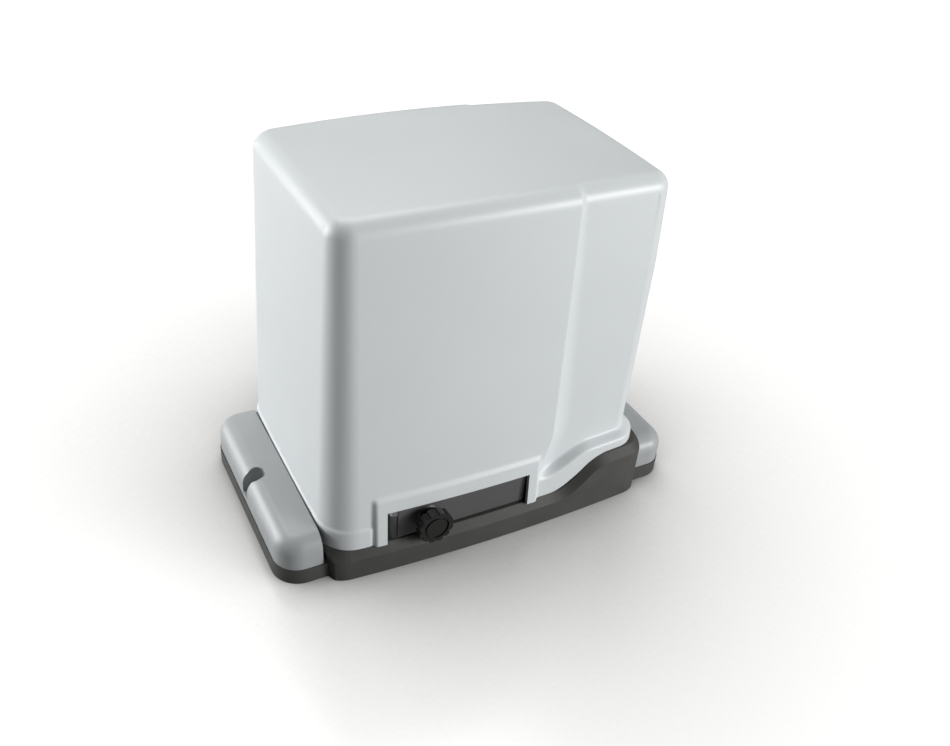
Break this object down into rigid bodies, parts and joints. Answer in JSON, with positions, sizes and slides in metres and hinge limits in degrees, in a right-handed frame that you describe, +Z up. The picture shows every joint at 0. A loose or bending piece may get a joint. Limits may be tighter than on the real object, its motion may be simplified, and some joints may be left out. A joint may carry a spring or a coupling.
{
  "type": "sliding gate motor",
  "caption": "Sliding gate motor: worm gearmotor on a dark cast base under a tall light grey moulded hood, with a lockable release door and a rack pinion at the back.",
  "frame": {"origin": "centre of the base's underside", "axes": "+X along the front towards the raised end, -Y towards the release door, +Y towards the rack pinion, +Z up"},
  "size_m": [0.328, 0.2503, 0.268],
  "materials": {
    "hood_plastic": "satin moulded plastic, light grey",
    "dark_cast": "dark grey satin paint on die-cast aluminium",
    "dark_plastic": "dark grey moulded plastic",
    "black_plastic": "black moulded plastic",
    "bare_aluminium": "as die cast",
    "machined_steel": "machined",
    "zinc_screws": "zinc plated",
    "wheel_bronze": "machined bronze",
    "motor_paint": "semi-gloss dark paint",
    "laminated_steel": "stacked laminations",
    "copper_enamel": "enamelled copper wire",
    "seal_rubber": "nitrile rubber",
    "circuit_board": "solder mask",
    "terminal_green": "moulded terminal plastic",
    "white_plastic": "moulded plastic",
    "fuse_glass": "fuse and clips"
  },
  "bodies": {
    "base": {"base_casting": "dark_cast", "board_screws": "zinc_screws", "board_tray": "dark_plastic", "button_bodies": "black_plastic", "cable_grommet": "dark_plastic", "capacitor": "white_plastic", "capacitor_clamp": "black_plastic", "control_board": "circuit_board", "earth_terminal": "zinc_screws", "fuse_holder": "fuse_glass", "gearbox_bolts": "zinc_screws", "gearbox_cover": "bare_aluminium", "gearbox_cover_screws": "zinc_screws", "gearbox_housing": "bare_aluminium", "levelling_screws": "zinc_screws", "limit_switch_box": "dark_plastic", "motor_casing": "motor_paint", "motor_end_cap": "bare_aluminium", "motor_screws": "zinc_screws", "oil_seal": "seal_rubber", "receiver_module": "circuit_board", "relays": "black_plastic", "release_bracket": "zinc_screws", "release_hinge_pin": "machined_steel", "shaft_bearings": "machined_steel", "stator_core": "laminated_steel", "stator_windings": "copper_enamel", "terminal_blocks": "terminal_green", "transformer": "laminated_steel", "trimmer_bodies": "black_plastic", "worm_bearings": "machined_steel"},
    "rotor": {"worm_shaft": "machined_steel", "rotor_core": "laminated_steel"},
    "wheel": {"worm_wheel": "wheel_bronze"},
    "output": {"output_shaft": "machined_steel", "drive_pinion": "machined_steel", "pinion_key": "machined_steel", "pinion_screw": "zinc_screws", "clutch_spring": "machined_steel"},
    "clutch": {"clutch_ring": "machined_steel", "cross_pin": "machined_steel", "push_pin": "machined_steel"},
    "slider": {"release_slider": "zinc_screws"},
    "lever": {"release_lever": "dark_plastic", "release_cam": "zinc_screws", "lock_barrel": "machined_steel"},
    "lock": {"lock_knob": "black_plastic", "lock_tongue": "zinc_screws"},
    "hood_shell": {"hood": "hood_plastic", "hood_screws": "zinc_screws"},
    "cover_left": {"foot_cover_left": "hood_plastic", "foot_cover_screw_left": "zinc_screws"},
    "cover_right": {"foot_cover_right": "hood_plastic", "foot_cover_screw_right": "zinc_screws"},
    "limit": {"limit_lever": "zinc_screws"},
    "button_left": {"set_button_left": "white_plastic"},
    "button_right": {"set_button_right": "white_plastic"},
    "trimmer_a": {"trimmer_1": "white_plastic"},
    "trimmer_b": {"trimmer_2": "white_plastic"},
    "trimmer_c": {"trimmer_3": "white_plastic"}
  },
  "joints": [
    {"name": "rotor_spin", "type": "hinge", "parent": "base", "child": "rotor", "pos_m": [-0.01, 0.008, 0.2], "axis": [0, 0, 1], "continuous": true},
    {"name": "wheel_spin", "type": "hinge", "parent": "base", "child": "wheel", "pos_m": [-0.052, 0.008, 0.088], "axis": [0, 1, 0], "continuous": true},
    {"name": "output_spin", "type": "hinge", "parent": "base", "child": "output", "pos_m": [-0.052, 0.06, 0.088], "axis": [0, 1, 0], "continuous": true},
    {"name": "clutch_shift", "type": "slide", "parent": "output", "child": "clutch", "axis": [0, 1, 0], "range_m": [0, 0.006], "deforming": ["clutch_spring"]},
    {"name": "slider_shift", "type": "slide", "parent": "base", "child": "slider", "axis": [0, 1, 0], "range_m": [0, 0.006]},
    {"name": "lever_swing", "type": "hinge", "parent": "base", "child": "lever", "pos_m": [-0.08, -0.084, 0.036], "axis": [0, 0, -1], "range_deg": [0, 90]},
    {"name": "lock_turn", "type": "hinge", "parent": "lever", "child": "lock", "pos_m": [-0.0568, -0.095, 0.03645], "axis": [0, 1, 0], "range_deg": [0, 90]},
    {"name": "hood_lift", "type": "slide", "parent": "base", "child": "hood_shell", "axis": [0, 0, 1], "range_m": [0, 0.28]},
    {"name": "cover_left_lift", "type": "slide", "parent": "base", "child": "cover_left", "axis": [0, 0, 1], "range_m": [0, 0.05]},
    {"name": "cover_right_lift", "type": "slide", "parent": "base", "child": "cover_right", "axis": [0, 0, 1], "range_m": [0, 0.05]},
    {"name": "limit_swing", "type": "hinge", "parent": "base", "child": "limit", "pos_m": [0.002, 0.099, 0.104], "axis": [0, 1, 0], "range_deg": [-30, 30], "stiffness_Nm_per_rad": 0.08},
    {"name": "button_left_press", "type": "slide", "parent": "base", "child": "button_left", "axis": [0, 1, 0], "range_m": [0, 0.0003], "stiffness_N_per_m": 400},
    {"name": "button_right_press", "type": "slide", "parent": "base", "child": "button_right", "axis": [0, 1, 0], "range_m": [0, 0.0003], "stiffness_N_per_m": 400},
    {"name": "trimmer_1_turn", "type": "hinge", "parent": "base", "child": "trimmer_a", "pos_m": [-0.008, -0.0686, 0.118], "axis": [0, 1, 0], "range_deg": [0, 270]},
    {"name": "trimmer_2_turn", "type": "hinge", "parent": "base", "child": "trimmer_b", "pos_m": [0.008, -0.0686, 0.118], "axis": [0, 1, 0], "range_deg": [0, 270]},
    {"name": "trimmer_3_turn", "type": "hinge", "parent": "base", "child": "trimmer_c", "pos_m": [0.024, -0.0686, 0.118], "axis": [0, 1, 0], "range_deg": [0, 270]}
  ],
  "couplings": [
    {"joint": "wheel_spin", "follows": "rotor_spin", "ratio": 0.03125},
    {"joint": "output_spin", "follows": "rotor_spin", "ratio": 0.03125},
    {"joint": "clutch_shift", "follows": "lever_swing", "m_per_rad": 0.0038197},
    {"joint": "slider_shift", "follows": "lever_swing", "m_per_rad": 0.0038197}
  ]
}
